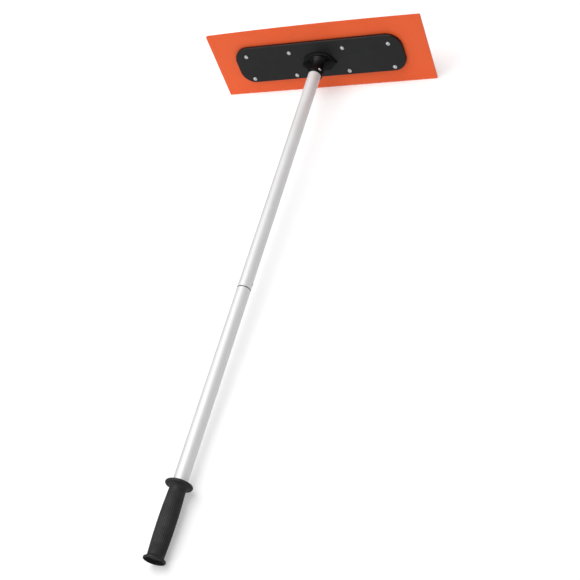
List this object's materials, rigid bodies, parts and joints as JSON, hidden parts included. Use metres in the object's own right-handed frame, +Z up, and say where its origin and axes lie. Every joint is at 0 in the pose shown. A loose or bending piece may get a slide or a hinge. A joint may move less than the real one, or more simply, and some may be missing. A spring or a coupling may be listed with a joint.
{
  "type": "roof snow rake",
  "caption": "Wide flat scraper blade bolted to a moulded head plate on a two-section tubular pole with snap-button joints and a flanged grip.",
  "frame": {"origin": "middle of the bounding box on the floor that the rake lies on", "axes": "+X along the blade, +Y from the grip towards the blade, +Z up from the floor"},
  "size_m": [0.508, 1.201, 0.1673],
  "materials": {
    "orange_plastic": "smooth moulded sheet, satin",
    "black_plastic": "fine moulded texture",
    "socket_plastic": "smooth moulded",
    "coupler_plastic": "smooth moulded",
    "aluminium": "satin anodised",
    "steel": "bright zinc-plated",
    "spring_steel": "plain",
    "nylon": "natural nylon",
    "rubber": "matt, moulded"
  },
  "bodies": {
    "head": {"scraper_blade": "orange_plastic", "head_plate": "black_plastic", "pole_socket": "socket_plastic", "plate_screws": "steel", "plate_washers": "steel", "lock_nuts": "steel", "nut_inserts": "nylon"},
    "upper_pole": {"upper_tube": "aluminium", "socket_button_spring": "spring_steel"},
    "lower_pole": {"lower_tube": "aluminium", "joint_coupler": "coupler_plastic", "coupler_rivet": "steel", "joint_button_spring": "spring_steel", "grip": "rubber", "end_plug": "black_plastic"},
    "socket_button": {"socket_button": "steel"},
    "joint_button": {"joint_button": "steel"}
  },
  "joints": [
    {"name": "socket_slide", "type": "slide", "parent": "head", "child": "upper_pole", "axis": [0, -0.9989, -0.0479], "range_m": [0, 0.3]},
    {"name": "joint_slide", "type": "slide", "parent": "upper_pole", "child": "lower_pole", "axis": [0, -0.9989, -0.0479], "range_m": [0, 0.42]},
    {"name": "socket_button_press", "type": "slide", "parent": "upper_pole", "child": "socket_button", "axis": [-0.848, 0.0254, -0.5293], "range_m": [0, 0.0044], "stiffness_N_per_m": 2500, "springref_m": -0.003, "deforming": ["socket_button_spring"]},
    {"name": "joint_button_press", "type": "slide", "parent": "lower_pole", "child": "joint_button", "axis": [-0.9511, -0.0148, 0.3087], "range_m": [0, 0.0027], "stiffness_N_per_m": 2500, "springref_m": -0.003, "deforming": ["joint_button_spring"]}
  ]
}
